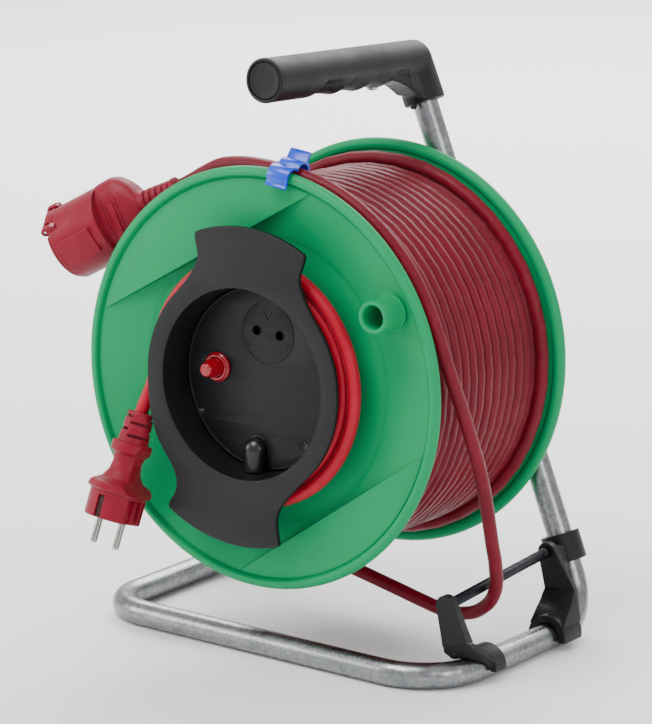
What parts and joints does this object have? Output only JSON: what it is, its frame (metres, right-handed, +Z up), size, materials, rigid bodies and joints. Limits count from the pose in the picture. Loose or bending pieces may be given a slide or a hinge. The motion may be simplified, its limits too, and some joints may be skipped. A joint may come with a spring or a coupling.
{
  "type": "extension cord reel",
  "caption": "Cable reel on a bent tube stand: a flanged drum with a crank knob winds a rubber extension cable with a capped connector; a short plug lead winds on its hub.",
  "frame": {"origin": "on the floor under the centre of the reel's footprint, leaving out its cables, plug and connector", "axes": "+Z up, -Y towards the side with the crank knob, +X to the side of the cable guide; the drum turns about an axis along Y"},
  "size_m": [0.3599, 0.2571, 0.4111],
  "materials": {
    "zinc": "galvanised, mottled",
    "black": "fine-grained black plastic",
    "green": "semi-gloss moulded green plastic",
    "steel": "zinc-plated steel",
    "bronze": "sintered bronze",
    "cap_red": "red plastic cap",
    "white": "off-white insulating plastic",
    "rod": "smooth blued steel rod",
    "blue": "glossy blue plastic",
    "red": "dark red rubber cable sheath",
    "red_bright": "bright red rubber cable sheath",
    "nickel": "nickel-plated brass"
  },
  "bodies": {
    "frame": {"frame_tube": "zinc", "leg_clamp": "black", "leg_clamp_screw": "steel", "handle_grip": "black", "handle_end_cap": "black", "handle_screw": "steel", "axle_bolt": "steel", "axle_washer_front": "steel", "axle_spacer": "black", "axle_washer_rear": "steel", "axle_nut": "steel", "guide_bracket_front": "black", "guide_bracket_rear": "black", "cable_clip": "blue", "free_cable": "red", "coupling_body": "red", "coupling_insert": "black", "lid_pin": "steel"},
    "drum": {"drum_front": "green", "drum_rear": "green", "drum_screw_1": "steel", "drum_screw_2": "steel", "drum_screw_3": "steel", "bush_front": "bronze", "bush_rear": "bronze", "knob_screw": "steel", "hub_cover": "black", "hub_plate": "black", "plate_screw_1": "steel", "plate_screw_2": "steel", "plate_screw_3": "steel", "lead_entry_hood": "black", "reset_collar": "cap_red", "thermal_cutout": "black", "terminal_block": "white", "lead_anchor": "black", "winding": "red", "lead_coil": "red_bright", "lead_drop": "red_bright", "plug_body": "red", "plug_pin_1": "nickel", "plug_pin_2": "nickel", "plug_earth_1": "nickel", "plug_earth_2": "nickel"},
    "knob": {"crank_knob": "green"},
    "reset": {"reset_button": "cap_red"},
    "roller": {"guide_roller": "rod"},
    "lid": {"coupling_lid": "red"}
  },
  "joints": [
    {"name": "drum_spin", "type": "hinge", "parent": "frame", "child": "drum", "pos_m": [-0.00295, -0.0102, 0.194], "axis": [0, 1, 0], "continuous": true},
    {"name": "knob_spin", "type": "hinge", "parent": "drum", "child": "knob", "pos_m": [0.10375, -0.0982, 0.2522], "axis": [0, 1, 0], "continuous": true},
    {"name": "reset_press", "type": "slide", "parent": "drum", "child": "reset", "axis": [0, 1, 0], "range_m": [0, 0.0025], "stiffness_N_per_m": 600, "springref_m": -0.001},
    {"name": "roller_spin", "type": "hinge", "parent": "frame", "child": "roller", "pos_m": [0.13565, -0.0042, 0.05825], "axis": [-0.0217, 0.9981, 0.0581], "continuous": true},
    {"name": "lid_hinge", "type": "hinge", "parent": "frame", "child": "lid", "pos_m": [-0.18794, -0.08533, 0.28286], "axis": [-0.3984, 0.7791, 0.484], "range_deg": [0, 105], "stiffness_Nm_per_rad": 0.02, "springref_deg": -20.05}
  ]
}
